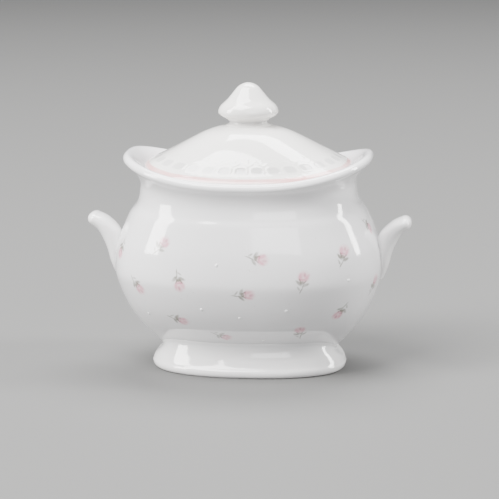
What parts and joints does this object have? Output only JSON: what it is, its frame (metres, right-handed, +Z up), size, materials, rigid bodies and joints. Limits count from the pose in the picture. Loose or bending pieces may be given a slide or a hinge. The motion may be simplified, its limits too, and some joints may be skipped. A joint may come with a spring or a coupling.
{
  "type": "lidded sugar bowl",
  "caption": "Oval bombe sugar bowl in white porcelain with a flared foot, two tab handles, eared rim, rosebud sprigs and a lift-off lid with a pointed knob.",
  "frame": {"origin": "centre of the foot's underside, on the surface that the bowl stands on", "axes": "+X towards the right handle, +Y towards the back, +Z up; the bowl's front face is on -Y"},
  "size_m": [0.1408, 0.082, 0.124],
  "materials": {
    "body_glaze": "glossy white porcelain with small printed rosebud sprigs",
    "lid_glaze": "glossy warm white porcelain with a thin pink line and a relief border"
  },
  "bodies": {
    "bowl": {"bowl_body": "body_glaze", "pedestal_foot": "body_glaze", "handle_left": "body_glaze", "handle_right": "body_glaze"},
    "lid": {"lid_dome": "lid_glaze", "lid_flange": "lid_glaze", "lid_knob": "lid_glaze"}
  },
  "joints": [
    {"name": "lid_lift", "type": "slide", "parent": "bowl", "child": "lid", "axis": [0, 0, 1], "range_m": [0, 0.05]}
  ]
}
